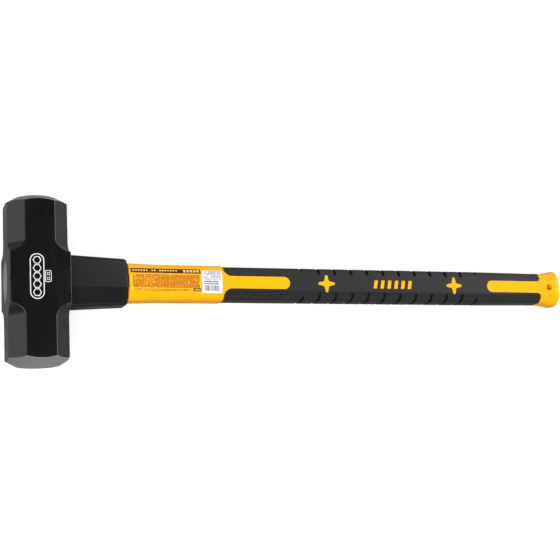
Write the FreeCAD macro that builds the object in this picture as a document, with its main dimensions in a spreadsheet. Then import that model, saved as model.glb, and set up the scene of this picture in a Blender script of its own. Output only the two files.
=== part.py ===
import FreeCAD, Part
import math
import os
import Sketcher

# A 3 kg sledgehammer lying on one cheek of its head. +X runs along the handle from the
# head to the butt, +Y along the head's own axis, +Z up. The origin is the middle of the
# cheek that it lies on, right below the centre of the eye.

sizes = {
    # head
    "acrossFlats": (55.0, "head width and thickness over the flats"),
    "headLength": (155.0, "head length between the striking faces"),
    "chamferLeg": (13.9, "leg of the octagon chamfers on the square bar"),
    "squareLength": (46.6, "length of the square middle at its sharp corners"),
    "runOutRadius": (12.6, "radius where an octagon chamfer runs out"),
    "bossHeight": (0.6, "how far the eye bosses stand out of the sides"),
    "bossFlat": (42.0, "length and width of an eye boss's flat"),
    "bossRamp": (6.0, "length of the slope at each end of a boss"),
    "faceRadius": (20.0, "radius of a striking face inside its bevel"),
    "bevelAngle": (30.0, "angle of the face bevel from the face, degrees"),
    # eye and what fills it
    "eyeTopLength": (38.6, "eye length at the outer mouth"),
    "eyeTopWidth": (25.4, "eye width at the outer mouth"),
    "eyeTaperLength": (2.6, "how much shorter the eye is at the handle's mouth"),
    "eyeTaperWidth": (1.8, "how much narrower the eye is at the handle's mouth"),
    "resinRecess": (0.3, "how far the resin lies below the outer mouth"),
    "coreCover": (3.0, "depth from the outer mouth to the core's end"),
    "sealDepth": (6.0, "depth of the seal in the handle's mouth"),
    # handle
    "coreLength": (24.0, "fibreglass rod size along the head"),
    "coreWidth": (18.0, "fibreglass rod thickness"),
    "coreEnd": (521.0, "where the fibreglass rod ends"),
    "guardEnd": (83.8, "where the strike guard ends"),
    "guardRootHeight": (49.6, "guard height at the head"),
    "guardEndHeight": (44.4, "guard height at its end"),
    "guardDepthRatio": (0.80, "guard depth over its height"),
    "guardEdge": (3.2, "radius round the guard's end"),
    "socketHeight": (31.5, "jacket height inside the guard"),
    "neckRootHeight": (35.7, "jacket height where it leaves the guard"),
    "neckFlare": (30.0, "length of the flare at the guard"),
    "neckHeight": (34.1, "jacket height along the bare neck"),
    "depthRatio": (1.0, "handle depth over its height"),
    "gripStart": (176.4, "where the soft grip begins"),
    "gripHeight": (32.5, "grip height"),
    "gripStraight": (452.0, "where the grip starts to slim down"),
    "waistPlace": (517.0, "narrowest place of the handle"),
    "waistHeight": (31.4, "handle height at its waist"),
    "gripWall": (2.6, "thickness of the soft grip"),
    "fingerEnd": (525.0, "where the grip's two rear fingers end"),
    "fingerRound": (5.0, "rounding of a rear finger"),
    "tongueWidth": (11.9, "width of the yellow tongues in the grip"),
    "frontTongueEnd": (243.7, "end of the tongue that starts at the neck"),
    "rearTongueStart": (461.0, "start of the tongue that runs to the butt"),
    "frontCorner": (8.2, "rounding of the grip's front corners beside the tongue"),
    "buttPeak": (545.5, "widest place of the butt"),
    "buttHeight": (37.4, "height of the butt flare"),
    "buttDepth": (32.2, "thickness of the butt flare, from front to back"),
    "buttEnd": (549.8, "end of the handle"),
    "hangPlace": (535.2, "centre of the hanging hole"),
    "hangBore": (6.5, "diameter of the hanging hole"),
    # windows in the grip
    "frontStarPlace": (282.2, "centre of the star nearest the head"),
    "rearStarPlace": (422.6, "centre of the star nearest the butt"),
    "starReach": (8.5, "star arm length"),
    "starTip": (2.0, "star arm width at the tip"),
    "starRoot": (2.5, "star inner corner distance from its middle lines"),
    "markStart": (332.5, "start of the row of raised bars"),
    "markPitch": (7.5, "spacing of the raised bars"),
    "markBar": (3.6, "width of a raised bar"),
    "markHeight": (8.2, "height of a raised bar"),
    "markLean": (1.6, "how far a raised bar leans"),
    # finger grooves
    "grooveStart": (255.8, "first groove at the grip's edge"),
    "groovePitch": (17.45, "spacing of the grooves"),
    "grooveBreadth": (3.0, "width of a groove"),
    "grooveDepth": (1.9, "depth of a groove"),
    "bandHalf": (8.8, "half width of the smooth band between the grooves"),
    "shortBandHalf": (12.6, "the same at the first and last groove"),
    # label and sticker
    "labelStart": (84.5, "label start"),
    "labelEnd": (153.6, "label end"),
    "labelLow": (-10.6, "label lower edge"),
    "labelHigh": (12.2, "label upper edge"),
    "labelFilm": (0.2, "label thickness"),
    "stickerStart": (154.2, "sticker start"),
    "stickerEnd": (174.3, "sticker end"),
    "stickerHalf": (10.9, "half the sticker's height"),
    "stickerPaper": (0.25, "sticker thickness"),
}
grooveCount = 12
markCount = 6
flankAngle = 32.0  # slope of the handle's flanks from its front flat, degrees
guardFlankAngle = 25.0
endFlat = 0.36  # flat middle of the handle's end over the height of its flare
handleShape = {"flat": 0.41, "soft": 0.29, "side": 0.52}  # parts of the half height
guardShape = {"flat": 0.245, "soft": 0.16, "side": 0.24}

doc = FreeCAD.newDocument("sledgehammer")
sheet = doc.addObject("Spreadsheet::Sheet", "dims")
for row, (alias, (value, note)) in enumerate(sizes.items(), start=1):
    sheet.set(f"A{row}", note)
    sheet.set(f"B{row}", str(value))
    sheet.setAlias(f"B{row}", alias)
doc.recompute()


class Dim:
    """A number together with the spreadsheet expression it comes from."""

    def __init__(self, value, text):
        self.value = value
        self.text = text

    def __add__(self, other):
        other = dim(other)
        return Dim(self.value + other.value, f"({self.text} + {other.text})")

    def __sub__(self, other):
        other = dim(other)
        return Dim(self.value - other.value, f"({self.text} - {other.text})")

    def __mul__(self, factor):
        factor = dim(factor)
        return Dim(self.value * factor.value, f"({self.text} * {factor.text})")

    def __truediv__(self, divisor):
        divisor = dim(divisor)
        return Dim(self.value / divisor.value, f"({self.text} / {divisor.text})")

    def __neg__(self):
        return self * -1


def dim(number):
    return number if isinstance(number, Dim) else Dim(number, f"({number:.9g})")


def cell(alias):
    return Dim(sizes[alias][0], f"dims.{alias}")


zero = dim(0)
midHeight = cell("acrossFlats") / 2  # height of the handle's axis above the floor
eyeReach = midHeight + cell("bossHeight")  # from the head's middle to an eye mouth


# ---- sketch and feature helpers ----


def newBody(name):
    body = doc.addObject("PartDesign::Body", name)
    body.Label = name
    return body


def newSketch(body, name, plane, place=None, turn=None):
    """A sketch on one of the body's origin planes, moved by three Dims in its own axes."""
    sketch = body.newObject("Sketcher::SketchObject", name)
    support = [f for f in body.Origin.OriginFeatures if f.Role == plane][0]
    sketch.AttachmentSupport = (support, "")
    sketch.MapMode = "FlatFace"
    place = place or (zero, zero, zero)
    base = FreeCAD.Vector(*[p.value for p in place])
    sketch.AttachmentOffset = FreeCAD.Placement(base, turn or FreeCAD.Rotation())
    for axis, p in zip("xyz", place):
        if p.value:
            sketch.setExpression(f".AttachmentOffset.Base.{axis}", p.text)
    return sketch


def pin(sketch, edge, end, point):
    """Holds the end of an edge at a place whose coordinates come from the sheet."""
    for kind, axis, value in (("DistanceX", -2, point[0]), ("DistanceY", -1, point[1])):
        if value.value == 0:
            sketch.addConstraint(Sketcher.Constraint("PointOnObject", edge, end, axis))
            continue
        rule = Sketcher.Constraint(kind, -1, 1, edge, end, value.value)
        index = sketch.addConstraint(rule)
        sketch.setExpression(f"Constraints[{index}]", value.text)


def drawLoop(sketch, points):
    """Closed outline, anticlockwise. A point is (x, y) where a straight edge starts, or
    (x, y, radius) where an arc starts: radius is above zero where the outline bulges."""
    edges = []
    for i, point in enumerate(points):
        after = points[(i + 1) % len(points)]
        a = FreeCAD.Vector(point[0].value, point[1].value, 0)
        b = FreeCAD.Vector(after[0].value, after[1].value, 0)
        if len(point) == 2:
            edge = sketch.addGeometry(Part.LineSegment(a, b), False)
            edges.append((edge, 1, 2))
            continue
        radius = abs(point[2].value)
        bulges = point[2].value > 0
        chord = b - a
        left = FreeCAD.Vector(-chord.y, chord.x, 0).normalize()
        rise = math.sqrt(max(radius**2 - chord.Length**2 / 4, 0.0))
        centre = (a + b) * 0.5 + left * (rise if bulges else -rise)
        first, last = (a, b) if bulges else (b, a)
        start = math.atan2(first.y - centre.y, first.x - centre.x)
        stop = math.atan2(last.y - centre.y, last.x - centre.x)
        circle = Part.Circle(centre, FreeCAD.Vector(0, 0, 1), radius)
        edge = sketch.addGeometry(Part.ArcOfCircle(circle, start, stop), False)
        edges.append((edge, 1, 2) if bulges else (edge, 2, 1))
        index = sketch.addConstraint(Sketcher.Constraint("Radius", edge, radius))
        sketch.setExpression(f"Constraints[{index}]", (point[2] if bulges else -point[2]).text)
    for i, (edge, start, stop) in enumerate(edges):
        following = edges[(i + 1) % len(edges)]
        joint = Sketcher.Constraint("Coincident", edge, stop, following[0], following[1])
        sketch.addConstraint(joint)
        pin(sketch, edge, start, points[i])


def halfTurn(points):
    """The quarter outline (side to crest) completed by symmetry about both axes."""
    arcs = [len(p) == 3 for p in points[:-1]]
    full = list(points)
    for flipX, flipY, back in ((-1, 1, True), (-1, -1, False), (1, -1, True)):
        quarter = []
        for i, p in enumerate(points):
            x = p[0] if flipX > 0 else -p[0]
            y = p[1] if flipY > 0 else -p[1]
            quarter.append([x, y])
            edgeHere = i - 1 if back else i
            if 0 <= edgeHere < len(arcs) and arcs[edgeHere]:
                quarter[-1].append(points[edgeHere][2])
        full += [tuple(q) for q in (reversed(quarter) if back else quarter)]
    return full


def flankedLoop(halfHeight, halfDepth, shape, angle):
    """Handle section: a front flat, a soft corner, a sloped flank and a round side."""
    s = math.sin(math.radians(angle))
    c = math.cos(math.radians(angle))
    flat = halfHeight * shape["flat"]
    soft = halfHeight * shape["soft"]
    side = halfHeight * shape["side"]
    flank = (halfHeight - flat - soft * s - side * (1 - s)) / c
    sideFlat = halfDepth - soft * (1 - c) - flank * s - side * c
    sideTop = (halfHeight, sideFlat, side)
    flankLow = (halfHeight - side * (1 - s), sideFlat + side * c)
    flankTop = (flankLow[0] - flank * c, flankLow[1] + flank * s, soft)
    return halfTurn([sideTop, flankLow, flankTop, (flat, halfDepth)])


def rectangleLoop(halfLength, halfWidth):
    return [(halfLength, -halfWidth), (halfLength, halfWidth), (-halfLength, halfWidth),
            (-halfLength, -halfWidth)]


def ovalLoop(halfLength, halfWidth):
    """An oval of four tangent arcs that meet where the outline runs at 45 degrees."""
    s = math.sqrt(0.5)
    broad = halfLength * (1 + s) - halfWidth * s
    tight = halfWidth * (1 + s) - halfLength * s
    x = broad * s
    y = halfWidth - broad * (1 - s)
    return [(x, -y, tight), (x, y, broad), (-x, y, tight), (-x, -y, broad)]


def section(body, name, place, loop):
    """A sketch across the handle, centred on its axis at the distance place."""
    sketch = newSketch(body, name, "YZ_Plane", (zero, midHeight, place))
    drawLoop(sketch, loop)
    return sketch


def handleSection(body, name, place, height, grow=zero, thickness=None):
    """The handle's section at a place, for a height and, where that differs, a thickness;
    grow makes it larger all round."""
    half = height / 2 + grow
    depth = (height * cell("depthRatio") if thickness is None else thickness) / 2 + grow
    return section(body, name, place, flankedLoop(half, depth, handleShape, flankAngle))


def loft(body, name, sketches, kind="Additive", ruled=True):
    doc.recompute()
    feature = body.newObject(f"PartDesign::{kind}Loft", name)
    feature.Profile = sketches[0]
    feature.Sections = sketches[1:]
    feature.Ruled = ruled
    for sketch in sketches:
        sketch.Visibility = False
    doc.recompute()
    return feature


def pad(body, name, sketch, length, middle=False):
    feature = body.newObject("PartDesign::Pad", name)
    feature.Profile = sketch
    feature.setExpression("Length", length.text)
    feature.Midplane = middle
    doc.recompute()
    return feature


def cutAway(body, name, sketch, length):
    """A pocket to both sides of its sketch, checked to take material away."""
    before = body.Shape.Volume
    feature = body.newObject("PartDesign::Pocket", name)
    feature.Profile = sketch
    feature.Midplane = True
    feature.setExpression("Length", length.text)
    doc.recompute()
    if body.Shape.Volume >= before - 1e-3:
        raise RuntimeError(f"{name} cuts nothing")
    return feature


def boolean(kind, name, base, tool):
    feature = doc.addObject(f"Part::{kind}", name)
    feature.Base = base
    feature.Tool = tool
    feature.Label = name
    doc.recompute()
    return feature


# ---- head ----


def makeHead():
    body = newBody("head")
    half = cell("headLength") / 2
    flat = cell("bossFlat") / 2
    ramp = flat + cell("bossRamp")
    outline = newSketch(body, "planOutline", "XY_Plane")
    drawLoop(outline, rectangleLoop(midHeight, half))
    pad(body, "bar", outline, cell("acrossFlats"))

    # The eye bosses: low pyramids with a flat top round each mouth of the eye.
    for side, name in ((-1, "outerBoss"), (1, "handleBoss")):
        foot = section(body, name + "Foot", midHeight * side, rectangleLoop(ramp, midHeight))
        top = section(body, name + "Top", eyeReach * side, rectangleLoop(flat, flat))
        loft(body, name, [foot, top])

    # The octagon chamfers: cut across each corner, ending in a round run-out.
    diagonal = math.sqrt(0.5)
    floor = (cell("acrossFlats") - cell("chamferLeg")) * diagonal
    radius = cell("runOutRadius")
    outer = floor + radius * 1.8
    start = cell("squareLength") / 2
    end = half + 5
    corner = newSketch(body, "cornerRunOut", "XY_Plane", (zero, zero, midHeight),
                       FreeCAD.Rotation(FreeCAD.Vector(0, 1, 0), -45))
    drawLoop(corner, [(floor + radius, start), (outer, start), (outer, end), (floor, end),
                      (floor, start + radius, radius)])
    drawLoop(corner, [(floor + radius, -start, radius), (floor, -start - radius),
                      (floor, -end), (outer, -end), (outer, -start)])
    chamfers = cutAway(body, "cornerChamfer", corner, cell("acrossFlats"))
    pattern = body.newObject("PartDesign::PolarPattern", "cornerChamfers")
    pattern.Originals = [chamfers]
    pattern.Axis = (corner, ["V_Axis"])
    pattern.Angle = 360
    pattern.Occurrences = 4
    body.Tip = pattern
    doc.recompute()

    # Striking faces: flat inside a conical bevel.
    face = newSketch(body, "faceTurning", "XY_Plane", (zero, zero, midHeight))
    rim = cell("faceRadius")
    wide = cell("acrossFlats")
    fall = (wide - rim) * math.tan(math.radians(sizes["bevelAngle"][0]))
    drawLoop(face, [(rim, half), (wide, half - fall), (wide, end), (rim, end)])
    drawLoop(face, [(rim, -half), (rim, -end), (wide, -end), (wide, fall - half)])
    before = body.Shape.Volume
    groove = body.newObject("PartDesign::Groove", "faceBevels")
    groove.Profile = face
    groove.ReferenceAxis = (face, ["V_Axis"])
    groove.Angle = 360
    doc.recompute()
    if body.Shape.Volume >= before:
        raise RuntimeError("the face bevels cut nothing")

    loft(body, "eye", eyeSections(body, "eye", -eyeReach - 1, eyeReach + 1), "Subtractive")
    return body


def eyeSections(body, name, start, end):
    """Two oval sketches on the tapered eye, from start to end along the handle."""
    sketches = []
    for mark, place in (("Outer", start), ("Inner", end)):
        part = (place + eyeReach) / (eyeReach * 2)
        length = cell("eyeTopLength") - cell("eyeTaperLength") * part
        width = cell("eyeTopWidth") - cell("eyeTaperWidth") * part
        sketches.append(section(body, name + mark, place, ovalLoop(length / 2, width / 2)))
    return sketches


# ---- core, resin and seal ----


def coreLoop():
    return ovalLoop(cell("coreLength") / 2, cell("coreWidth") / 2)


coreStart = cell("coreCover") - eyeReach
sealStart = eyeReach - cell("sealDepth")


def makeCore():
    body = newBody("fibreglass_core")
    rod = section(body, "rodSection", coreStart, coreLoop())
    pad(body, "rod", rod, cell("coreEnd") - coreStart)
    return body


def makeResin():
    body = newBody("eye_resin")
    ends = eyeSections(body, "resin", cell("resinRecess") - eyeReach, sealStart)
    loft(body, "potting", ends)
    rod = section(body, "rodSocket", (coreStart + sealStart) / 2, coreLoop())
    cutAway(body, "rodPocket", rod, sealStart - coreStart)
    return body


def makeSeal():
    body = newBody("eye_seal")
    loft(body, "ring", eyeSections(body, "ring", sealStart, eyeReach))
    rod = section(body, "rodHole", eyeReach, coreLoop())
    cutAway(body, "rodBore", rod, cell("sealDepth") * 3)
    return body


# ---- strike guard ----


def guardSection(body, name, place, height):
    loop = flankedLoop(height / 2, height / 2 * cell("guardDepthRatio"), guardShape, guardFlankAngle)
    return section(body, name, place, loop)


def makeGuard(head, seal):
    body = newBody("guard_blank")
    end = cell("guardEnd")
    edge = cell("guardEdge")
    high = cell("guardEndHeight")
    stations = [guardSection(body, "guardRoot", midHeight, cell("guardRootHeight"))]
    for i, turn in enumerate((0, 30, 60, 90)):
        back = edge * (1 - math.sin(math.radians(turn)))
        shrink = edge * 2 * (1 - math.cos(math.radians(turn)))
        stations.append(guardSection(body, f"guardRim{i}", end - back, high - shrink))
    loft(body, "guardSleeve", stations)
    inner = handleSection(body, "socket", midHeight + end, cell("socketHeight"))
    cutAway(body, "socketBore", inner, end * 3)
    onHead = boolean("Cut", "guard_on_head", body, head)
    return boolean("Cut", "strike_guard", onHead, seal)


# ---- handle: the whole outer shape, then what the soft grip takes of it ----


def gripStations(body, name, grow=zero):
    """Sections of the grip's outer surface, from its front end to the handle's waist."""
    places = (("Front", "gripStart", "gripHeight"), ("Straight", "gripStraight", "gripHeight"),
              ("Waist", "waistPlace", "waistHeight"))
    return [handleSection(body, name + mark, cell(place), cell(height), grow)
            for mark, place, height in places]


def addButt(body, name):
    """The flare from the waist to the butt's widest place, and the rounded end."""
    waist = cell("waistPlace")
    peak = cell("buttPeak")
    end = cell("buttEnd")
    thin = cell("waistHeight")
    thick = cell("buttHeight")
    deep = cell("buttDepth")
    flare = [(waist, thin, thin)]
    for part, rise in ((0.35, 0.07), (0.6, 0.32), (0.82, 0.74)):
        flare.append((waist + (peak - waist) * part, thin + (thick - thin) * rise,
                      thin + (deep - thin) * rise))
    flare.append((peak, thick, deep))
    cap = [(peak, thick, deep)]
    for turn in (22, 45, 67, 90):
        part = math.sin(math.radians(turn))
        fall = endFlat + (1 - endFlat) * math.cos(math.radians(turn))
        cap.append((peak + (end - peak) * part, thick * fall, deep * fall))
    for mark, steps in (("Flare", flare), ("Cap", cap)):
        sections = [handleSection(body, f"{name}{mark}{i}", place, height, zero, thickness)
                    for i, (place, height, thickness) in enumerate(steps)]
        loft(body, name + mark + "Loft", sections, ruled=False)


def neckStations(body, name, grow=zero):
    root = cell("guardEnd")
    high = cell("neckRootHeight")
    low = cell("neckHeight")
    flare = cell("neckFlare")
    steps = ((root, high), (root + flare * 0.4, low + (high - low) * 0.72),
             (root + flare * 0.75, low + (high - low) * 0.18), (root + flare, low),
             (cell("gripStart"), low))
    return [handleSection(body, f"{name}{i}", place, height, grow)
            for i, (place, height) in enumerate(steps)]


def makeEnvelope():
    body = newBody("handle_outer")
    socket = [handleSection(body, f"socket{i}", place, cell("socketHeight"))
              for i, place in enumerate((eyeReach, cell("guardEnd")))]
    loft(body, "socketStub", socket)
    loft(body, "neck", neckStations(body, "neckStation"))
    loft(body, "gripPart", gripStations(body, "gripStation"))
    addButt(body, "butt")
    hole = newSketch(body, "hangHole", "XY_Plane", (zero, zero, midHeight))
    ring = hole.addGeometry(Part.Circle(FreeCAD.Vector(sizes["hangPlace"][0], 0, 0),
                                        FreeCAD.Vector(0, 0, 1), sizes["hangBore"][0] / 2), False)
    pin(hole, ring, 3, (cell("hangPlace"), zero))
    index = hole.addConstraint(Sketcher.Constraint("Diameter", ring, sizes["hangBore"][0]))
    hole.setExpression(f"Constraints[{index}]", "dims.hangBore")
    cutAway(body, "hangBore", hole, cell("acrossFlats") * 2)
    return body


def tongueLoops():
    """The two windows that are open at the grip's ends; the front one flares at its mouth."""
    half = cell("tongueWidth") / 2
    front = cell("frontTongueEnd")
    rear = cell("rearTongueStart")
    mouth = cell("gripStart")
    corner = cell("frontCorner")
    near = mouth - 5
    far = cell("fingerEnd") + 10
    return [
        [(near, -half - corner), (mouth, -half - corner, -corner), (mouth + corner, -half),
         (front - half, -half, half), (front, zero, half), (front - half, half),
         (mouth + corner, half, -corner), (mouth, half + corner), (near, half + corner)],
        [(rear + half, -half), (far, -half), (far, half), (rear + half, half, half),
         (rear, zero, half)],
    ]


def starLoop(centre):
    reach = cell("starReach")
    tip = cell("starTip") / 2
    root = cell("starRoot")
    arm = [(reach, -tip), (reach, tip), (root, root)]
    points = []
    for turn in range(4):
        for x, y in arm:
            for _ in range(turn):
                x, y = -y, x
            points.append((x + centre, y))
    return points


def barLoop(number):
    left = cell("markStart") + cell("markPitch") * number
    half = cell("markHeight") / 2
    lean = cell("markLean")
    right = left + cell("markBar")
    return [(left, -half), (right, -half), (right + lean, half), (left + lean, half)]


def grooveLoop(place, band, side):
    """A groove from the smooth band out past the grip's edge."""
    past = cell("gripHeight") / 2 + 4
    after = place + cell("grooveBreadth")
    points = [(place, band), (after, band), (after, past), (place, past)]
    if side > 0:
        return points
    return [(x, -y) for x, y in reversed(points)]


def cutGrooves(body):
    pitch = cell("groovePitch")
    first = cell("grooveStart")
    through = cell("acrossFlats")
    ends = newSketch(body, "endGrooves", "XY_Plane", (zero, zero, midHeight))
    middle = newSketch(body, "grooves", "XY_Plane", (zero, zero, midHeight))
    for side in (1, -1):
        for number in (0, grooveCount - 1):
            drawLoop(ends, grooveLoop(first + pitch * number, cell("shortBandHalf"), side))
        drawLoop(middle, grooveLoop(first + pitch, cell("bandHalf"), side))
    cutAway(body, "endGrooveCut", ends, through)
    cut = cutAway(body, "grooveCut", middle, through)
    pattern = body.newObject("PartDesign::LinearPattern", "grooveCuts")
    pattern.Originals = [cut]
    pattern.Direction = (middle, ["H_Axis"])
    pattern.setExpression("Length", (pitch * (grooveCount - 3)).text)
    pattern.Occurrences = grooveCount - 2
    body.Tip = pattern
    doc.recompute()
    # The grooves' floors: the grip's own shape, one groove depth smaller.
    loft(body, "grooveFloors", gripStations(body, "floor", -cell("grooveDepth")))


def makeGrip(name, grooved):
    """The soft sleeve with windows for the yellow; grooved is how it is sold, plain is
    the room that the jacket leaves for it."""
    body = newBody(name)
    loft(body, "gripOuter", gripStations(body, "outer"))
    if grooved:
        cutGrooves(body)
    addButt(body, "tail")
    wall = -cell("gripWall")
    stations = (("gripStart", "gripHeight"), ("gripStraight", "gripHeight"),
                ("waistPlace", "waistHeight"), ("buttEnd", "waistHeight"))
    inside = [handleSection(body, f"inside{i}", cell(place), cell(height), wall)
              for i, (place, height) in enumerate(stations)]
    loft(body, "jacketSpace", inside, "Subtractive")

    windows = newSketch(body, "windows", "XY_Plane", (zero, zero, midHeight))
    loops = tongueLoops()
    loops += [starLoop(cell(place)) for place in ("frontStarPlace", "rearStarPlace")]
    loops += [barLoop(number) for number in range(markCount)]
    for loop in loops:
        drawLoop(windows, loop)
    cutAway(body, "windowCuts", windows, cell("acrossFlats"))

    end = cell("fingerEnd")
    far = cell("buttEnd") + 5
    high = cell("buttHeight")
    half = cell("tongueWidth") / 2
    radius = cell("fingerRound")
    rear = newSketch(body, "fingerEnds", "XY_Plane", (zero, zero, midHeight))
    drawLoop(rear, [(far, -high), (far, high), (end, high), (end, half + radius, -radius),
                    (end - radius, half), (end - radius, -half, -radius),
                    (end, -half - radius), (end, -high)])
    cutAway(body, "fingerCut", rear, cell("acrossFlats"))
    return body


def makeWrap(name, envelope, thickness, start, end, low, high):
    """A thin sheet stuck on the upper side of the bare neck."""
    skin = newBody(name + "_skin")
    loft(skin, name + "Skin", neckStations(skin, name, thickness))
    shell = boolean("Cut", name + "_shell", skin, envelope)
    region = doc.addObject("Part::Box", name + "_region")
    region.setExpression("Length", (end - start).text)
    region.setExpression("Width", (high - low).text)
    region.setExpression("Height", cell("acrossFlats").text)
    region.setExpression("Placement.Base.x", start.text)
    region.setExpression("Placement.Base.y", low.text)
    region.setExpression("Placement.Base.z", midHeight.text)
    doc.recompute()
    return boolean("Common", name, shell, region)


# ---- assembly ----

head = makeHead()
core = makeCore()
resin = makeResin()
seal = makeSeal()
guard = makeGuard(head, seal)
envelope = makeEnvelope()
gripRoom = makeGrip("grip_room", False)
grip = makeGrip("grip_sleeve", True)
jacketShell = boolean("Cut", "jacket_shell", envelope, gripRoom)
jacket = boolean("Cut", "handle_jacket", jacketShell, core)
label = makeWrap("product_label", envelope, cell("labelFilm"), cell("labelStart"),
                 cell("labelEnd"), cell("labelLow"), cell("labelHigh"))
sticker = makeWrap("stock_sticker", envelope, cell("stickerPaper"), cell("stickerStart"),
                   cell("stickerEnd"), -cell("stickerHalf"), cell("stickerHalf"))
pieces = [head, core, resin, seal, guard, jacket, grip, label, sticker]

for thing in doc.Objects:
    if "Invalid" in thing.State or "Error" in thing.State:
        raise RuntimeError(f"{thing.Name} failed: {thing.State}")
for piece in pieces:
    shape = piece.Shape
    if shape.isNull() or not shape.isValid() or len(shape.Solids) != 1:
        raise RuntimeError(f"{piece.Label} isn't one valid solid")

os.makedirs("parts", exist_ok=True)
for piece in pieces:
    piece.Shape.exportStep(f"parts/{piece.Label}.step")
    box = piece.Shape.BoundBox
    print(f"{piece.Label:16s} {piece.Shape.Volume / 1000:8.2f} cm3  x {box.XMin:.1f} to"
          f" {box.XMax:.1f}  y {box.YMin:.1f} to {box.YMax:.1f}  z {box.ZMin:.1f} to {box.ZMax:.1f}")
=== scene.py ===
import bmesh
import bpy
import math
from mathutils import Matrix, Vector


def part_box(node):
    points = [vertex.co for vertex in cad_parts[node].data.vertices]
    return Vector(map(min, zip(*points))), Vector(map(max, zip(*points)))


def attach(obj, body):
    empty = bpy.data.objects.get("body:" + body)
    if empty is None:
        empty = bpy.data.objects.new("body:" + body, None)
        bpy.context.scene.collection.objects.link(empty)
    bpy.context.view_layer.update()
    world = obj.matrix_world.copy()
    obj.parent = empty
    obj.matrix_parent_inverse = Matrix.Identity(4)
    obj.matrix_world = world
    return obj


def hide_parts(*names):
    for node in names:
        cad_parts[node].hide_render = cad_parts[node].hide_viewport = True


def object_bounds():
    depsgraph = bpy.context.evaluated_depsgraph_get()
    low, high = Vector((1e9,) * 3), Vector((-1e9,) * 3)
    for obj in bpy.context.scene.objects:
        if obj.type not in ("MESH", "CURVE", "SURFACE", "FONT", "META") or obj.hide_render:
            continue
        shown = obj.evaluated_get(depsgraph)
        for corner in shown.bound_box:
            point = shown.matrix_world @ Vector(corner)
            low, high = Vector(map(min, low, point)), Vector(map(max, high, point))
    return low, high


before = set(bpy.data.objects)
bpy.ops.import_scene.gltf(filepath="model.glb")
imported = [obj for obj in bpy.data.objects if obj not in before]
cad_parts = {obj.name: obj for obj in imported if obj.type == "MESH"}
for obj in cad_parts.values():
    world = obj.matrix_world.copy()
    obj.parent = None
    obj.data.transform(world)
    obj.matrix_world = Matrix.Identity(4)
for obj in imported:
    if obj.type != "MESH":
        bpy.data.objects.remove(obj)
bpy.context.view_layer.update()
scene = bpy.context.scene
mm = 0.001
print("frame loaded:", len(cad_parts), "nodes")


# small helpers


def linearColour(hexText):
    channels = [int(hexText[i:i + 2], 16) / 255 for i in (1, 3, 5)]
    return [c / 12.92 if c <= 0.04045 else ((c + 0.055) / 1.055) ** 2.4 for c in channels] + [1.0]


def addNode(tree, kind, settings=None, inputs=None):
    # settings are the node's own, inputs are values or the sockets that feed it
    node = tree.nodes.new(kind)
    for key, value in (settings or {}).items():
        setattr(node, key, value)
    for key, value in (inputs or {}).items():
        if isinstance(value, bpy.types.NodeSocket):
            tree.links.new(value, node.inputs[key])
        else:
            node.inputs[key].default_value = value
    return node


def newMaterial(name, look):
    # the shader with its fixed values, and the object coordinates that its patterns read
    material = bpy.data.materials.new(name)
    material.use_nodes = True
    tree = material.node_tree
    tree.nodes.clear()
    shader = addNode(tree, "ShaderNodeBsdfPrincipled", {}, look)
    addNode(tree, "ShaderNodeOutputMaterial", {}, {"Surface": shader.outputs[0]})
    place = addNode(tree, "ShaderNodeTexCoord").outputs["Object"]
    return material, tree, shader, place


def plainMesh(carrier, name):
    # what the carrier's modifiers make, as a mesh of its own; the carrier itself goes
    bpy.context.view_layer.update()
    seen = carrier.evaluated_get(bpy.context.evaluated_depsgraph_get())
    mesh = bpy.data.meshes.new_from_object(seen)
    bpy.data.objects.remove(carrier)
    mesh.name = name
    return mesh


def addPiece(name, mesh, material, stands=()):
    # stands are the CAD nodes that the piece is shown in place of
    piece = bpy.data.objects.new(name, mesh)
    scene.collection.objects.link(piece)
    mesh.materials.clear()
    mesh.materials.append(material)
    if stands:
        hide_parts(*stands)
    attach(piece, "root")
    return piece


# materials

# scuff is the grey of worn edges and also of a painted highlight line along them
forged = {"lacquer": "#040404", "streak": "#121212", "scuffAndHighlight": "#6C6C6E", "steel": "#A4A4A6",
          "streakMm": 1.1, "streakStretch": 40, "peelMm": 2.2, "cloudsPerMetre": 45.0,
          "grindMm": 0.4, "grindStretch": 20, "chipMm": 1.4,
          "squareWearAndHighlight": 0.75, "chamferWearAndHighlight": 0.12}


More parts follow.
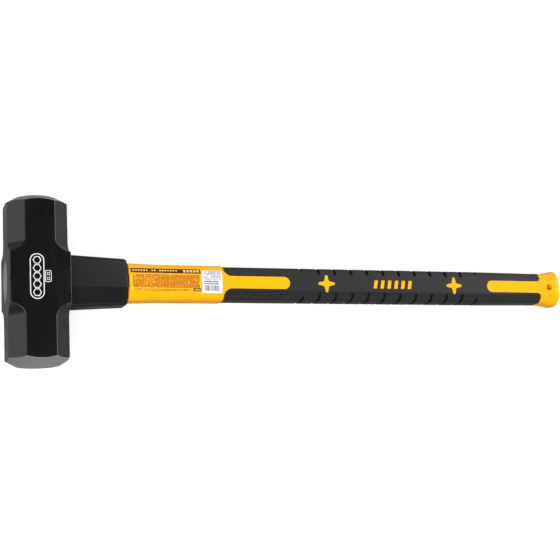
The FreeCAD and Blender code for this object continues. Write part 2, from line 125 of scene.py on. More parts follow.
def lacqueredForging():
    # black lacquer brushed over a hot-forged blank: deep and smooth with a faint orange peel,
    # soft streaks along the head, rubbed through to grey steel on the edges, with a painted highlight
    # line in the same grey strongest along the square's, and the struck ends bare and ground; the
    # grinding is drawn coarser than it is
    material, tree, shader, place = newMaterial("blackLacqueredForging", {})
    across = 1 / (forged["streakMm"] * mm)
    stretch = addNode(tree, "ShaderNodeMapping", {}, {
        "Vector": place, "Scale": (across, across / forged["streakStretch"], across)})
    streaks = addNode(tree, "ShaderNodeTexNoise", {}, {
        "Vector": stretch.outputs[0], "Scale": 1.0, "Detail": 3.0}).outputs["Fac"]
    clouds = addNode(tree, "ShaderNodeTexNoise", {}, {
        "Vector": place, "Scale": forged["cloudsPerMetre"], "Detail": 2.0}).outputs["Fac"]
    peel = addNode(tree, "ShaderNodeTexNoise", {}, {
        "Vector": place, "Scale": 1 / (forged["peelMm"] * mm), "Detail": 2.0}).outputs["Fac"]
    ground = addNode(tree, "ShaderNodeAttribute", {"attribute_name": "ground"}).outputs["Fac"]
    corner = addNode(tree, "ShaderNodeAttribute", {"attribute_name": "corner"}).outputs["Fac"]
    flakes = addNode(tree, "ShaderNodeTexNoise", {}, {
        "Vector": place, "Scale": 1 / (forged["chipMm"] * mm), "Detail": 4.0,
        "Roughness": 0.65}).outputs["Fac"]
    chipped = addNode(tree, "ShaderNodeMapRange", {}, {
        "Value": flakes, "From Min": 0.4, "From Max": 0.6}).outputs[0]
    # the edge mask: wear where the lacquer chips through, plus a painted highlight along the edges,
    # strongest on the square's
    wearAndHighlight = addNode(tree, "ShaderNodeMath", {"operation": "MULTIPLY"}, {0: corner, 1: chipped}).outputs[0]
    streaky = addNode(tree, "ShaderNodeMapRange", {}, {
        "Value": streaks, "From Min": 0.45, "From Max": 0.8}).outputs[0]
    coat = addNode(tree, "ShaderNodeMix", {"data_type": "RGBA"}, {
        0: streaky, 6: linearColour(forged["lacquer"]), 7: linearColour(forged["streak"])}).outputs[2]
    # the scuff grey paints both the worn edges and the highlight line on them
    coat = addNode(tree, "ShaderNodeMix", {"data_type": "RGBA"}, {
        0: wearAndHighlight, 6: coat, 7: linearColour(forged["scuffAndHighlight"])}).outputs[2]
    turns = 1 / (forged["grindMm"] * mm)
    along = turns / forged["grindStretch"]
    grain = addNode(tree, "ShaderNodeMapping", {}, {"Vector": place, "Scale": (turns, along, along)})
    lines = addNode(tree, "ShaderNodeTexNoise", {}, {
        "Vector": grain.outputs[0], "Scale": 1.0, "Detail": 3.0}).outputs["Fac"]
    shade = addNode(tree, "ShaderNodeMapRange", {}, {
        "Value": lines, "To Min": 0.8, "To Max": 1.15}).outputs[0]
    steel = addNode(tree, "ShaderNodeMix", {"data_type": "RGBA", "blend_type": "MULTIPLY"}, {
        0: 1.0, 6: linearColour(forged["steel"]), 7: shade}).outputs[2]
    colour = addNode(tree, "ShaderNodeMix", {"data_type": "RGBA"}, {0: ground, 6: coat, 7: steel})
    tree.links.new(colour.outputs[2], shader.inputs["Base Color"])
    bare = addNode(tree, "ShaderNodeMath", {"operation": "MAXIMUM"}, {0: ground, 1: wearAndHighlight}).outputs[0]
    metal = addNode(tree, "ShaderNodeMath", {"operation": "MULTIPLY"}, {0: bare, 1: 0.85})
    tree.links.new(metal.outputs[0], shader.inputs["Metallic"])
    gloss = addNode(tree, "ShaderNodeMapRange", {}, {
        "Value": clouds, "To Min": 0.2, "To Max": 0.3}).outputs[0]
    matt = addNode(tree, "ShaderNodeMapRange", {}, {
        "Value": lines, "To Min": 0.34, "To Max": 0.46}).outputs[0]
    rough = addNode(tree, "ShaderNodeMix", {"data_type": "FLOAT"}, {0: bare, 2: gloss, 3: matt})
    tree.links.new(rough.outputs[0], shader.inputs["Roughness"])
    skin = addNode(tree, "ShaderNodeMix", {"data_type": "FLOAT"}, {
        0: 0.35, 2: peel, 3: streaks}).outputs[0]
    skin = addNode(tree, "ShaderNodeMath", {"operation": "SUBTRACT"}, {0: skin, 1: wearAndHighlight}).outputs[0]
    height = addNode(tree, "ShaderNodeMix", {"data_type": "FLOAT"}, {0: ground, 2: skin, 3: lines})
    bump = addNode(tree, "ShaderNodeBump", {}, {
        "Height": height.outputs[0], "Strength": 0.5, "Distance": 0.05 * mm})
    tree.links.new(bump.outputs[0], shader.inputs["Normal"])
    return material


moulded = {
    "yellowPolypropylene": {"colour": "#FFB200", "rough": 0.42, "shine": 0.12, "grainMm": 0.5,
                            "depthMm": 0.015, "shade": 0.03},
    "gripRubber": {"colour": "#141414", "rough": 0.5, "shine": 0.36, "grainMm": 0.45,
                   "depthMm": 0.06, "shade": 0.1},
    "guardRubber": {"colour": "#101010", "rough": 0.4, "shine": 0.24, "grainMm": 0.7,
                    "depthMm": 0.02, "shade": 0.1},
    "sealRubber": {"colour": "#141414", "rough": 0.6, "shine": 0.3, "grainMm": 0.5,
                   "depthMm": 0.03, "shade": 0.1},
    "labelFilm": {"colour": "#FBB90A", "rough": 0.35, "shine": 0.35, "grainMm": 0.9,
                  "depthMm": 0.008, "shade": 0.03},
}
meltFlow = {"perMetre": (14, 60, 60), "glossSpread": 0.06}  # drawn out along the handle


def mouldedSkin(name, finish):
    # injection-moulded: the tool's spark-eroded grain, a little unevenness of gloss and colour
    # along the way the melt flowed
    material, tree, shader, place = newMaterial(name, {
        "Specular IOR Level": finish["shine"], "IOR": 1.5})
    along = addNode(tree, "ShaderNodeMapping", {}, {"Vector": place, "Scale": meltFlow["perMetre"]})
    flow = addNode(tree, "ShaderNodeTexNoise", {}, {
        "Vector": along.outputs[0], "Scale": 1.0, "Detail": 3.0}).outputs["Fac"]
    grain = addNode(tree, "ShaderNodeTexNoise", {}, {
        "Vector": place, "Scale": 1 / (finish["grainMm"] * mm), "Detail": 2.0}).outputs["Fac"]
    shade = addNode(tree, "ShaderNodeMapRange", {}, {
        "Value": flow, "To Min": 1 - finish["shade"], "To Max": 1 + finish["shade"]}).outputs[0]
    colour = addNode(tree, "ShaderNodeMix", {"data_type": "RGBA", "blend_type": "MULTIPLY"}, {
        0: 1.0, 6: linearColour(finish["colour"]), 7: shade})
    tree.links.new(colour.outputs[2], shader.inputs["Base Color"])
    rough = addNode(tree, "ShaderNodeMapRange", {}, {
        "Value": flow, "To Min": finish["rough"] - meltFlow["glossSpread"],
        "To Max": finish["rough"] + meltFlow["glossSpread"]})
    tree.links.new(rough.outputs[0], shader.inputs["Roughness"])
    bump = addNode(tree, "ShaderNodeBump", {}, {
        "Height": grain, "Strength": 0.6, "Distance": finish["depthMm"] * mm})
    tree.links.new(bump.outputs[0], shader.inputs["Normal"])
    return material


rod = {"strandsPerMetre": (30, 1600, 1600), "resin": "#CDBB82", "glass": "#F1E8C4"}


def pultrudedFibreglass():
    # glass rovings in polyester, pulled through a die: long straight strands along the rod
    material, tree, shader, place = newMaterial("pultrudedFibreglass", {"Roughness": 0.35, "IOR": 1.52})
    along = addNode(tree, "ShaderNodeMapping", {}, {"Vector": place, "Scale": rod["strandsPerMetre"]})
    strands = addNode(tree, "ShaderNodeTexNoise", {}, {
        "Vector": along.outputs[0], "Scale": 1.0}).outputs["Fac"]
    colour = addNode(tree, "ShaderNodeMix", {"data_type": "RGBA"}, {
        0: strands, 6: linearColour(rod["resin"]), 7: linearColour(rod["glass"])})
    tree.links.new(colour.outputs[2], shader.inputs["Base Color"])
    bump = addNode(tree, "ShaderNodeBump", {}, {
        "Height": strands, "Strength": 0.5, "Distance": 0.04 * mm})
    tree.links.new(bump.outputs[0], shader.inputs["Normal"])
    return material


eyeFill = {"dark": "#7E7E7C", "light": "#A2A29F", "cloudsPerMetre": 160.0, "bubblesPerMetre": 420.0}


def castEpoxy():
    # grey filled epoxy poured into the eye: low gloss, with small pits where bubbles burst
    material, tree, shader, place = newMaterial("castGreyEpoxy", {"Roughness": 0.4, "IOR": 1.55})
    cloud = addNode(tree, "ShaderNodeTexNoise", {}, {
        "Vector": place, "Scale": eyeFill["cloudsPerMetre"], "Detail": 4.0}).outputs["Fac"]
    colour = addNode(tree, "ShaderNodeMix", {"data_type": "RGBA"}, {
        0: cloud, 6: linearColour(eyeFill["dark"]), 7: linearColour(eyeFill["light"])})
    tree.links.new(colour.outputs[2], shader.inputs["Base Color"])
    bubbles = addNode(tree, "ShaderNodeTexVoronoi", {}, {
        "Vector": place, "Scale": eyeFill["bubblesPerMetre"]}).outputs["Distance"]
    pits = addNode(tree, "ShaderNodeMapRange", {}, {
        "Value": bubbles, "From Min": 0.08, "From Max": 0.2}).outputs[0]
    bump = addNode(tree, "ShaderNodeBump", {}, {
        "Height": pits, "Strength": 0.5, "Distance": 0.2 * mm})
    tree.links.new(bump.outputs[0], shader.inputs["Normal"])
    return material


stickerStock = {"dark": "#DCD9DE", "light": "#ECEAEE", "fibresPerMetre": 800.0}


def coatedPaper():
    # matt-coated sticker stock: near white, with faint fibre mottling
    material, tree, shader, place = newMaterial("coatedStickerPaper", {"Roughness": 0.55})
    fibre = addNode(tree, "ShaderNodeTexNoise", {}, {
        "Vector": place, "Scale": stickerStock["fibresPerMetre"], "Detail": 4.0}).outputs["Fac"]
    colour = addNode(tree, "ShaderNodeMix", {"data_type": "RGBA"}, {
        0: fibre, 6: linearColour(stickerStock["dark"]), 7: linearColour(stickerStock["light"])})
    tree.links.new(colour.outputs[2], shader.inputs["Base Color"])
    bump = addNode(tree, "ShaderNodeBump", {}, {
        "Height": fibre, "Strength": 0.4, "Distance": 0.02 * mm})
    tree.links.new(bump.outputs[0], shader.inputs["Normal"])
    return material


inks = {"brownInk": "#4A1D00", "amberInk": "#AC5400", "paleInk": "#F6DC8A", "greyInk": "#5E5A62",
        "blackInk": "#232126", "whitePaint": "#E4E4E4"}
inkPatchesPerMetre = 700.0


def printedInk(name, colour):
    # a thin layer of ink or paint that covers a little unevenly
    material, tree, shader, place = newMaterial(name, {"Roughness": 0.45, "Specular IOR Level": 0.3})
    cover = addNode(tree, "ShaderNodeTexNoise", {}, {
        "Vector": place, "Scale": inkPatchesPerMetre, "Detail": 3.0}).outputs["Fac"]
    shade = addNode(tree, "ShaderNodeMapRange", {}, {
        "Value": cover, "To Min": 0.8, "To Max": 1.1}).outputs[0]
    mix = addNode(tree, "ShaderNodeMix", {"data_type": "RGBA", "blend_type": "MULTIPLY"}, {
        0: 1.0, 6: linearColour(colour), 7: shade})
    tree.links.new(mix.outputs[2], shader.inputs["Base Color"])
    return material


materials = {"forging": lacqueredForging(), "fibreglass": pultrudedFibreglass(),
             "epoxy": castEpoxy(), "paper": coatedPaper()}
for name, finish in moulded.items():
    materials[name] = mouldedSkin(name, finish)
for name, colour in inks.items():
    materials[name] = printedInk(name, colour)
print("materials:", len(materials))


# pieces that round off a CAD node's own edges

# merge and width are in millimetres, flat, sharp and slight in degrees, broad in square millimetres
headEdges = {"merge": 0.01, "flat": 0.6, "width": 1.3, "steps": 3,
             "sharp": 22, "slight": 4, "broad": 150}
softEdges = {"merge": 0.004, "flat": 0.3, "width": 0.5, "steps": 2,
             "sharp": 28, "slight": 28, "broad": 0}


def softenedMesh(node, name, edge):
    # a merged copy of the node's mesh with its edges rounded: every sharp edge, and a slight
    # one where it parts two broad faces; the rounded faces get material number 1
    work = bmesh.new()
    work.from_mesh(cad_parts[node].data)
    bmesh.ops.remove_doubles(work, verts=work.verts, dist=edge["merge"] * mm)
    bmesh.ops.dissolve_limit(work, angle_limit=math.radians(edge["flat"]), verts=work.verts,
                             edges=work.edges, delimit={"NORMAL"})
    weight = work.edges.layers.float.new("bevel_weight_edge")
    for line in work.edges:
        turn = math.degrees(line.calc_face_angle(0))
        broad = all(face.calc_area() > edge["broad"] * mm * mm for face in line.link_faces)
        line[weight] = 1.0 if turn > edge["sharp"] or (broad and turn > edge["slight"]) else 0.0
    mesh = bpy.data.meshes.new(name + "Blank")
    work.to_mesh(mesh)
    work.free()
    for attribute in ("custom_normal", "sharp_face", "sharp_edge"):
        if attribute in mesh.attributes:
            mesh.attributes.remove(mesh.attributes[attribute])
    mesh.polygons.foreach_set("use_smooth", [True] * len(mesh.polygons))
    for _ in range(2):
        mesh.materials.append(None)
    carrier = bpy.data.objects.new(name + "Work", mesh)
    scene.collection.objects.link(carrier)
    bevel = carrier.modifiers.new("rounding", "BEVEL")
    bevel.width = edge["width"] * mm
    bevel.segments = edge["steps"]
    bevel.limit_method = "WEIGHT"
    bevel.material = 1
    bevel.use_clamp_overlap = True
    bevel.harden_normals = True
    bevel.miter_outer = "MITER_ARC"
    return plainMesh(carrier, name)


def paintFaces(mesh, name, values):
    attribute = mesh.attributes.new(name, "FLOAT", "FACE")
    attribute.data.foreach_set("value", values)


groundEnds = {"depth": 8 * mm, "lean": 0.3}  # how far the grinding reaches, and its faces' least lean
eyeSquare = 25 * mm  # half the length of the square middle, whose edges get the most wear and the strongest painted highlight


def makeHead():
    mesh = softenedMesh("head", "headForging", headEdges)
    low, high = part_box("head")
    middle = (low + high) / 2
    ground = []
    corner = []
    for face in mesh.polygons:
        reach = abs(face.center.y - middle.y)
        struck = reach > high.y - groundEnds["depth"] and abs(face.normal.y) > groundEnds["lean"]
        ground.append(1.0 if struck else 0.0)
        # the square's edge faces get a strong mask that paints a highlight line as well as wear; the
        # chamfers' edges get a weak one
        edgeWearAndHighlight = forged["squareWearAndHighlight"] if reach < eyeSquare else forged["chamferWearAndHighlight"]
        corner.append(edgeWearAndHighlight if face.material_index == 1 else 0.0)
    mesh.polygons.foreach_set("material_index", [0] * len(mesh.polygons))
    paintFaces(mesh, "ground", ground)
    paintFaces(mesh, "corner", corner)
    addPiece("headForging", mesh, materials["forging"], ["head"])


makeHead()
for node, name, material, slot in (
        ("handle_jacket", "yellowJacket", "yellowPolypropylene", "handle_plastic"),
        ("grip_sleeve", "softGrip", "gripRubber", "grip_rubber"),
        ("strike_guard", "strikeGuard", "guardRubber", "guard_rubber")):
    mesh = softenedMesh(node, name, softEdges)
    mesh.polygons.foreach_set("material_index", [0] * len(mesh.polygons))
    addPiece(name, mesh, materials[material], [node])
for node, material in (("fibreglass_core", "fibreglass"), ("eye_resin", "epoxy"),
                       ("eye_seal", "sealRubber"), ("product_label", "labelFilm"),
                       ("stock_sticker", "paper")):
    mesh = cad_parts[node].data
    mesh.materials.clear()
    mesh.materials.append(materials[material])
print("pieces made")


# print on the label, the sticker and the head

# each block is rows of dashes in millimetres: the place of its first corner, how many rows and
# dashes and how far apart, the size of a dash and the points across it, how much its width
# varies, the share left out, and how far it stands off the sheet
prints = {
    "labelHeaderBar": {"sheet": "label", "ink": "brownInk", "start": (84.9, 12.0),
                       "rows": 1, "rowPitch": 4.7, "dashes": 1, "dashPitch": 68.4,
                       "dash": (68.2, 4.7), "cuts": (40, 9),
                       "vary": 0.0, "gaps": 0.0, "seed": 1, "lift": 0.03},
    "labelHeaderType": {"sheet": "label", "ink": "paleInk", "start": (86.4, 10.9),
                        "rows": 1, "rowPitch": 1.9, "dashes": 17, "dashPitch": 2.6,
                        "dash": (2.1, 1.4), "cuts": (3, 3),
                        "vary": 0.35, "gaps": 0.12, "seed": 4, "lift": 0.06},
    "labelHeaderSubtitle": {"sheet": "label", "ink": "amberInk", "start": (86.4, 8.5),
                            "rows": 1, "rowPitch": 0.9, "dashes": 22, "dashPitch": 1.4,
                            "dash": (1.2, 0.7), "cuts": (2, 2),
                            "vary": 0.5, "gaps": 0.1, "seed": 6, "lift": 0.06},
    "labelHeaderName": {"sheet": "label", "ink": "paleInk", "start": (135.6, 11.0),
                        "rows": 1, "rowPitch": 2.6, "dashes": 5, "dashPitch": 3.3,
                        "dash": (2.5, 2.4), "cuts": (3, 3),
                        "vary": 0.1, "gaps": 0.0, "seed": 2, "lift": 0.06},
    "labelFinePrint": {"sheet": "label", "ink": "amberInk", "start": (86.6, 6.3),
                       "rows": 11, "rowPitch": 1.17, "dashes": 46, "dashPitch": 1.42,
                       "dash": (1.42, 0.96), "cuts": (2, 2),
                       "vary": 0.35, "gaps": 0.04, "seed": 7, "lift": 0.03},
    "labelLastLine": {"sheet": "label", "ink": "amberInk", "start": (87.6, -7.3),
                      "rows": 2, "rowPitch": 1.2, "dashes": 30, "dashPitch": 1.85,
                      "dash": (1.7, 0.85), "cuts": (2, 2),
                      "vary": 0.5, "gaps": 0.05, "seed": 9, "lift": 0.03},
    "labelWeightPill": {"sheet": "label", "ink": "brownInk", "start": (145.2, -6.6),
                        "rows": 1, "rowPitch": 2.9, "dashes": 1, "dashPitch": 7.6,
                        "dash": (7.4, 2.9), "cuts": (8, 5),
                        "vary": 0.0, "gaps": 0.0, "seed": 1, "lift": 0.05},
    "labelPillType": {"sheet": "label", "ink": "paleInk", "start": (146.5, -7.5),
                      "rows": 1, "rowPitch": 1.1, "dashes": 4, "dashPitch": 1.25,
                      "dash": (0.95, 1.0), "cuts": (2, 2),
                      "vary": 0.3, "gaps": 0.0, "seed": 5, "lift": 0.09},
    "stickerRows": {"sheet": "sticker", "ink": "greyInk", "start": (156.4, 10.2),
                    "rows": 6, "rowPitch": 1.42, "dashes": 12, "dashPitch": 1.36,
                    "dash": (1.25, 0.85), "cuts": (2, 2),
                    "vary": 0.6, "gaps": 0.14, "seed": 11, "lift": 0.03},
    "stickerCode": {"sheet": "sticker", "ink": "blackInk", "start": (156.2, 1.2),
                    "rows": 2, "rowPitch": 2.2, "dashes": 10, "dashPitch": 1.4,
                    "dash": (1.2, 1.25), "cuts": (2, 2),
                    "vary": 0.4, "gaps": 0.1, "seed": 3, "lift": 0.03},
    "stickerBars": {"sheet": "sticker", "ink": "blackInk", "start": (156.5, -3.6),
                    "rows": 1, "rowPitch": 5.4, "dashes": 22, "dashPitch": 0.67,
                    "dash": (0.5, 5.3), "cuts": (2, 6),
                    "vary": 0.75, "gaps": 0.12, "seed": 8, "lift": 0.03},
}
sheets = {"label": ("product_label", "label_film"), "sticker": ("stock_sticker", "sticker_paper")}
# the head's painted mark: a chain of outlined hexagons inside an outlined pill, and a small badge
headMarks = {
    "headChainMark": {"centre": (-3.4, 0.6), "count": 5, "pitch": 7.4, "radius": 3.5,
                      "corners": 6, "turn": 0, "frame": (12.2, 41.0), "corner": 6.0, "line": 0.85},
    "headBadgeMark": {"centre": (6.6, 0.7), "count": 2, "pitch": 4.4, "radius": 1.5,
                      "corners": 4, "turn": 45, "frame": (5.2, 10.2), "corner": 1.2, "line": 0.6},
}
paintLift = 0.04 * mm
cornerSteps = 10  # points in each rounded corner of a frame
dropHeight = 10 * mm  # how far above everything the dashes start


def newTree(name, inputs):
    # a Geometry Nodes tree with named inputs; gives the tree, its inputs and their identifiers
    tree = bpy.data.node_groups.new(name, "GeometryNodeTree")
    identifiers = {}
    for label, kind in inputs.items():
        socket = tree.interface.new_socket(label, in_out="INPUT", socket_type="NodeSocket" + kind)
        identifiers[label] = socket.identifier
    tree.interface.new_socket("Geometry", in_out="OUTPUT", socket_type="NodeSocketGeometry")
    return tree, addNode(tree, "NodeGroupInput").outputs, identifiers


def bakedMesh(name, tree, identifiers, values):
    # the tree's result as a plain mesh
    carrier = bpy.data.objects.new(name + "Work", bpy.data.meshes.new(name + "Work"))
    scene.collection.objects.link(carrier)
    modifier = carrier.modifiers.new("nodes", "NODES")
    modifier.node_group = tree
    for label, value in values.items():
        modifier[identifiers[label]] = value
    return plainMesh(carrier, name)


def dashTree():
    # rows of flat dashes, dropped from above onto a surface
    tree, given, identifiers = newTree("printedDashes", {
        "Surface": "Object", "Ink": "Material", "Start": "Vector", "Rows": "Int", "Row Pitch": "Float",
        "Dashes": "Int", "Dash Pitch": "Float", "Dash Size": "Vector", "Vary": "Float", "Gaps": "Float",
        "Seed": "Int", "Cuts X": "Int", "Cuts Y": "Int", "Lift": "Float"})
    count = addNode(tree, "ShaderNodeMath", {"operation": "MULTIPLY"}, {
        0: given["Rows"], 1: given["Dashes"]})
    index = addNode(tree, "GeometryNodeInputIndex").outputs[0]
    share = addNode(tree, "ShaderNodeMath", {"operation": "DIVIDE"}, {0: index, 1: given["Dashes"]})
    row = addNode(tree, "ShaderNodeMath", {"operation": "FLOOR"}, {0: share.outputs[0]}).outputs[0]
    column = addNode(tree, "ShaderNodeMath", {"operation": "MODULO"}, {
        0: index, 1: given["Dashes"]}).outputs[0]
    columnMiddle = addNode(tree, "ShaderNodeMath", {"operation": "ADD"}, {0: column, 1: 0.5}).outputs[0]
    rowMiddle = addNode(tree, "ShaderNodeMath", {"operation": "ADD"}, {0: row, 1: 0.5}).outputs[0]
    along = addNode(tree, "ShaderNodeMath", {"operation": "MULTIPLY"}, {
        0: columnMiddle, 1: given["Dash Pitch"]}).outputs[0]
    across = addNode(tree, "ShaderNodeMath", {"operation": "MULTIPLY"}, {
        0: rowMiddle, 1: given["Row Pitch"]}).outputs[0]
    down = addNode(tree, "ShaderNodeMath", {"operation": "MULTIPLY"}, {0: across, 1: -1.0}).outputs[0]
    step = addNode(tree, "ShaderNodeCombineXYZ", {}, {0: along, 1: down})
    place = addNode(tree, "ShaderNodeVectorMath", {"operation": "ADD"}, {
        0: given["Start"], 1: step.outputs[0]})
    points = addNode(tree, "GeometryNodePoints", {}, {
        "Count": count.outputs[0], "Position": place.outputs[0]})
    missing = addNode(tree, "FunctionNodeRandomValue", {"data_type": "BOOLEAN"}, {
        "Probability": given["Gaps"], "Seed": given["Seed"]}).outputs[3]
    kept = addNode(tree, "GeometryNodeDeleteGeometry", {}, {
        "Geometry": points.outputs[0], "Selection": missing})
    least = addNode(tree, "ShaderNodeMath", {"operation": "SUBTRACT"}, {0: 1.0, 1: given["Vary"]})
    chance = addNode(tree, "FunctionNodeRandomValue", {"data_type": "FLOAT"}, {
        2: least.outputs[0], 3: 1.0, "Seed": given["Seed"]}).outputs[1]
    narrow = addNode(tree, "ShaderNodeCombineXYZ", {}, {0: chance, 1: 1.0, 2: 1.0})
    size = addNode(tree, "ShaderNodeVectorMath", {"operation": "MULTIPLY"}, {
        0: given["Dash Size"], 1: narrow.outputs[0]})
    dash = addNode(tree, "GeometryNodeMeshGrid", {}, {
        "Size X": 1.0, "Size Y": 1.0, "Vertices X": given["Cuts X"], "Vertices Y": given["Cuts Y"]})
    laid = addNode(tree, "GeometryNodeInstanceOnPoints", {}, {
        "Points": kept.outputs[0], "Instance": dash.outputs[0], "Scale": size.outputs[0]})
    real = addNode(tree, "GeometryNodeRealizeInstances", {}, {0: laid.outputs[0]})
    under = addNode(tree, "GeometryNodeObjectInfo", {"transform_space": "ORIGINAL"}, {
        "Object": given["Surface"]}).outputs["Geometry"]
    fallen = addNode(tree, "GeometryNodeRaycast", {}, {
        "Target Geometry": under, "Ray Direction": (0, 0, -1), "Ray Length": 1.0})
    raised = addNode(tree, "ShaderNodeVectorMath", {"operation": "SCALE"}, {
        0: fallen.outputs["Hit Normal"], "Scale": given["Lift"]})
    rest = addNode(tree, "ShaderNodeVectorMath", {"operation": "ADD"}, {
        0: fallen.outputs["Hit Position"], 1: raised.outputs[0]})
    settled = addNode(tree, "GeometryNodeSetPosition", {}, {
        "Geometry": real.outputs[0], "Position": rest.outputs[0]})
    inked = addNode(tree, "GeometryNodeSetMaterial", {}, {
        "Geometry": settled.outputs[0], "Material": given["Ink"]})
    addNode(tree, "NodeGroupOutput", {}, {0: inked.outputs[0]})
    return tree, identifiers


def markTree():
    # outlined shapes in a row inside an outlined frame, drawn as flat ribbons
    tree, given, identifiers = newTree("outlinedMark", {
        "Paint": "Material", "Centre": "Vector", "Count": "Int", "Pitch": "Float", "Radius": "Float",
        "Corners": "Int", "Turn": "Float", "Frame Width": "Float", "Frame Length": "Float",
        "Frame Corner": "Float", "Line": "Float"})
    half = addNode(tree, "ShaderNodeMath", {"operation": "MULTIPLY"}, {
        0: given["Line"], 1: 0.5}).outputs[0]
    minusHalf = addNode(tree, "ShaderNodeMath", {"operation": "MULTIPLY"}, {0: half, 1: -1.0}).outputs[0]
    inner = addNode(tree, "ShaderNodeCombineXYZ", {}, {0: minusHalf})
    outer = addNode(tree, "ShaderNodeCombineXYZ", {}, {0: half})
    ribbon = addNode(tree, "GeometryNodeCurvePrimitiveLine", {}, {
        "Start": inner.outputs[0], "End": outer.outputs[0]})
    shape = addNode(tree, "GeometryNodeCurvePrimitiveCircle", {}, {
        "Resolution": given["Corners"], "Radius": given["Radius"]})
    turn = addNode(tree, "ShaderNodeCombineXYZ", {}, {2: given["Turn"]})
    turned = addNode(tree, "GeometryNodeTransform", {}, {
        "Geometry": shape.outputs[0], "Rotation": turn.outputs[0]})
    gaps = addNode(tree, "ShaderNodeMath", {"operation": "SUBTRACT"}, {0: given["Count"], 1: 1.0})
    span = addNode(tree, "ShaderNodeMath", {"operation": "MULTIPLY"}, {
        0: gaps.outputs[0], 1: given["Pitch"]})
    back = addNode(tree, "ShaderNodeMath", {"operation": "MULTIPLY"}, {0: span.outputs[0], 1: -0.5})
    first = addNode(tree, "ShaderNodeCombineXYZ", {}, {1: back.outputs[0]})
    step = addNode(tree, "ShaderNodeCombineXYZ", {}, {1: given["Pitch"]})
    line = addNode(tree, "GeometryNodeMeshLine", {}, {
        "Count": given["Count"], "Start Location": first.outputs[0], "Offset": step.outputs[0]})
    row = addNode(tree, "GeometryNodeInstanceOnPoints", {}, {
        "Points": line.outputs[0], "Instance": turned.outputs[0]})
    shapes = addNode(tree, "GeometryNodeRealizeInstances", {}, {0: row.outputs[0]})
    box = addNode(tree, "GeometryNodeCurvePrimitiveQuadrilateral", {}, {
        "Width": given["Frame Width"], "Height": given["Frame Length"]})
    rounded = addNode(tree, "GeometryNodeFilletCurve", {"mode": "POLY"}, {
        "Curve": box.outputs[0], "Count": cornerSteps, "Radius": given["Frame Corner"],
        "Limit Radius": True})
    both = addNode(tree, "GeometryNodeJoinGeometry")
    tree.links.new(shapes.outputs[0], both.inputs[0])
    tree.links.new(rounded.outputs[0], both.inputs[0])
    drawn = addNode(tree, "GeometryNodeCurveToMesh", {}, {
        "Curve": both.outputs[0], "Profile Curve": ribbon.outputs[0]})
    placed = addNode(tree, "GeometryNodeTransform", {}, {
        "Geometry": drawn.outputs[0], "Translation": given["Centre"]})
    real = addNode(tree, "GeometryNodeRealizeInstances", {}, {0: placed.outputs[0]})
    painted = addNode(tree, "GeometryNodeSetMaterial", {}, {
        "Geometry": real.outputs[0], "Material": given["Paint"]})
    addNode(tree, "NodeGroupOutput", {}, {0: painted.outputs[0]})
    return tree, identifiers


def faceUp(mesh):
    # a flat mark's faces all look up, away from what it is printed on
    work = bmesh.new()
    work.from_mesh(mesh)
    bmesh.ops.reverse_faces(work, faces=[f for f in work.faces if f.normal.z < 0])
    work.to_mesh(mesh)
    work.free()
    return mesh


dashes, dashInputs = dashTree()
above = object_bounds()[1].z + dropHeight
for name, block in prints.items():
    node, slot = sheets[block["sheet"]]
    ink = materials[block["ink"]]
    left, top = block["start"]
    length, height = block["dash"]
    mesh = bakedMesh(name, dashes, dashInputs, {
        "Surface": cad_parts[node], "Ink": ink, "Start": (left * mm, top * mm, above),
        "Rows": block["rows"], "Row Pitch": block["rowPitch"] * mm,
        "Dashes": block["dashes"], "Dash Pitch": block["dashPitch"] * mm,
        "Dash Size": (length * mm, height * mm, 1.0), "Vary": block["vary"], "Gaps": block["gaps"],
        "Seed": block["seed"], "Cuts X": block["cuts"][0], "Cuts Y": block["cuts"][1],
        "Lift": block["lift"] * mm})
    addPiece(name, faceUp(mesh), ink)
marks, markInputs = markTree()
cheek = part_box("head")[1].z + paintLift
paint = materials["whitePaint"]
for name, mark in headMarks.items():
    along, across = mark["centre"]
    width, length = mark["frame"]
    mesh = bakedMesh(name, marks, markInputs, {
        "Paint": paint, "Centre": (along * mm, across * mm, cheek),
        "Count": mark["count"], "Pitch": mark["pitch"] * mm, "Radius": mark["radius"] * mm,
        "Corners": mark["corners"], "Turn": math.radians(mark["turn"]),
        "Frame Width": width * mm, "Frame Length": length * mm,
        "Frame Corner": mark["corner"] * mm, "Line": mark["line"] * mm})
    addPiece(name, faceUp(mesh), paint)
print("print and marks:", len(prints) + len(headMarks))


# camera, floor and studio

view = {"place": (-0.2009, -0.2220, 1.1989), "aim": (0.2395, 0.0060, 0.0275), "lens": 83.1,
        "roll": -2.89, "near": 0.05}
camera = bpy.data.objects.new("camera", bpy.data.cameras.new("camera"))
scene.collection.objects.link(camera)
scene.camera = camera
camera.data.lens = view["lens"]
camera.data.clip_start = view["near"]
ahead = (Vector(view["aim"]) - Vector(view["place"])).normalized()
right = ahead.cross(Vector((0, 1, 0))).normalized()
turned = Matrix((right, right.cross(ahead), -ahead)).transposed().to_4x4()
roll = Matrix.Rotation(math.radians(view["roll"]), 4, "Z")
camera.matrix_world = Matrix.Translation(view["place"]) @ turned @ roll
scene.view_settings.view_transform = "Standard"

# the floor glows for the camera only, so it looks plain white without lighting the hammer's sides
studio = {"floor": "#8C8C8C", "floorReach": 6.0, "floorGlow": 0.8, "horizon": 0.95, "zenith": 0.01,
          "sheen": 2.8}


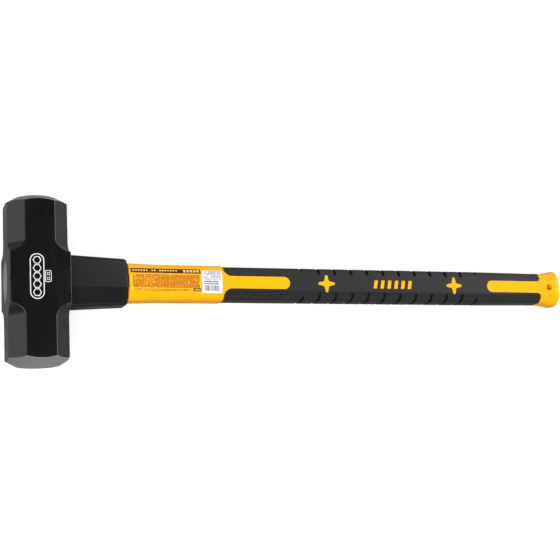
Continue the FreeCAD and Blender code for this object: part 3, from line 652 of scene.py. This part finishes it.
def makeFloor():
    half = studio["floorReach"]
    corners = [(-half, -half, 0), (half, -half, 0), (half, half, 0), (-half, half, 0)]
    mesh = bpy.data.meshes.new("studioFloor")
    mesh.from_pydata(corners, [], [(0, 1, 2, 3)])
    floor = bpy.data.objects.new("studioFloor", mesh)
    scene.collection.objects.link(floor)
    material, tree, shader, _ = newMaterial("mattStudioFloor", {
        "Base Color": linearColour(studio["floor"]), "Roughness": 0.9, "Emission Color": (1, 1, 1, 1)})
    seen = addNode(tree, "ShaderNodeLightPath").outputs["Is Camera Ray"]
    glow = addNode(tree, "ShaderNodeMath", {"operation": "MULTIPLY"}, {0: seen, 1: studio["floorGlow"]})
    tree.links.new(glow.outputs[0], shader.inputs["Emission Strength"])
    mesh.materials.append(material)


def makeWorld():
    # a bright low band that fades past the struck ends, dark overhead, and a bright canopy on
    # the butt's side that the grip mirrors
    world = bpy.data.worlds.new("studioWorld")
    scene.world = world
    world.use_nodes = True
    tree = world.node_tree
    tree.nodes.clear()
    place = addNode(tree, "ShaderNodeTexCoord").outputs["Generated"]
    axes = addNode(tree, "ShaderNodeSeparateXYZ", {}, {0: place})
    band = addNode(tree, "ShaderNodeMapRange", {}, {
        "Value": axes.outputs["Z"], "From Min": 0.12, "From Max": 0.45,
        "To Min": studio["horizon"], "To Max": studio["zenith"]}).outputs[0]
    buttSide = addNode(tree, "ShaderNodeMapRange", {}, {
        "Value": axes.outputs["X"], "From Min": 0.3, "From Max": 0.44,
        "To Max": studio["sheen"]}).outputs[0]
    farSide = addNode(tree, "ShaderNodeMapRange", {}, {
        "Value": axes.outputs["Y"], "From Min": -0.45, "From Max": -0.1}).outputs[0]
    canopy = addNode(tree, "ShaderNodeMath", {"operation": "MULTIPLY"}, {
        0: buttSide, 1: farSide}).outputs[0]
    nearFade = addNode(tree, "ShaderNodeMapRange", {}, {
        "Value": axes.outputs["Y"], "From Min": -0.75, "From Max": -0.25, "To Min": 0.1}).outputs[0]
    farFade = addNode(tree, "ShaderNodeMapRange", {}, {
        "Value": axes.outputs["Y"], "From Min": 0.5, "From Max": 0.85, "To Min": 1.0,
        "To Max": 0.6}).outputs[0]
    fade = addNode(tree, "ShaderNodeMath", {"operation": "MULTIPLY"}, {
        0: nearFade, 1: farFade}).outputs[0]
    low = addNode(tree, "ShaderNodeMath", {"operation": "MULTIPLY"}, {0: band, 1: fade}).outputs[0]
    light = addNode(tree, "ShaderNodeMath", {"operation": "MAXIMUM"}, {0: low, 1: canopy})
    glow = addNode(tree, "ShaderNodeBackground", {}, {"Strength": light.outputs[0]})
    addNode(tree, "ShaderNodeOutputWorld", {}, {"Surface": glow.outputs[0]})


softboxes = {
    "keySoftbox": {"place": (-0.7, -0.6, 1.5), "aim": (0.3, 0, 0), "size": (1.0, 1.0), "power": 31},
    "leftSoftbox": {"place": (-1.6, 0.3, 0.33), "aim": (0.0, 0, 0), "size": (1.4, 0.6), "power": 2.5},
    "lowerSoftbox": {"place": (0.7, -1.5, 0.5), "aim": (0.3, 0, 0), "size": (1.6, 0.5), "power": 6},
    "upperSoftbox": {"place": (0.3, 1.5, 0.6), "aim": (0.25, 0, 0), "size": (2.2, 0.5), "power": 1.2},
    "rightSoftbox": {"place": (1.6, 0.1, 0.5), "aim": (0.0, 0, 0), "size": (1.4, 0.6), "power": 11},
}


def makeSoftbox(name, box):
    lamp = bpy.data.lights.new(name, "AREA")
    lamp.shape = "RECTANGLE"
    lamp.size, lamp.size_y = box["size"]
    lamp.energy = box["power"]
    holder = bpy.data.objects.new(name, lamp)
    scene.collection.objects.link(holder)
    holder.location = box["place"]
    ahead = Vector(box["aim"]) - Vector(box["place"])
    holder.rotation_euler = ahead.to_track_quat("-Z", "Y").to_euler()


makeFloor()
makeWorld()
for name, box in softboxes.items():
    makeSoftbox(name, box)
print("studio ready")
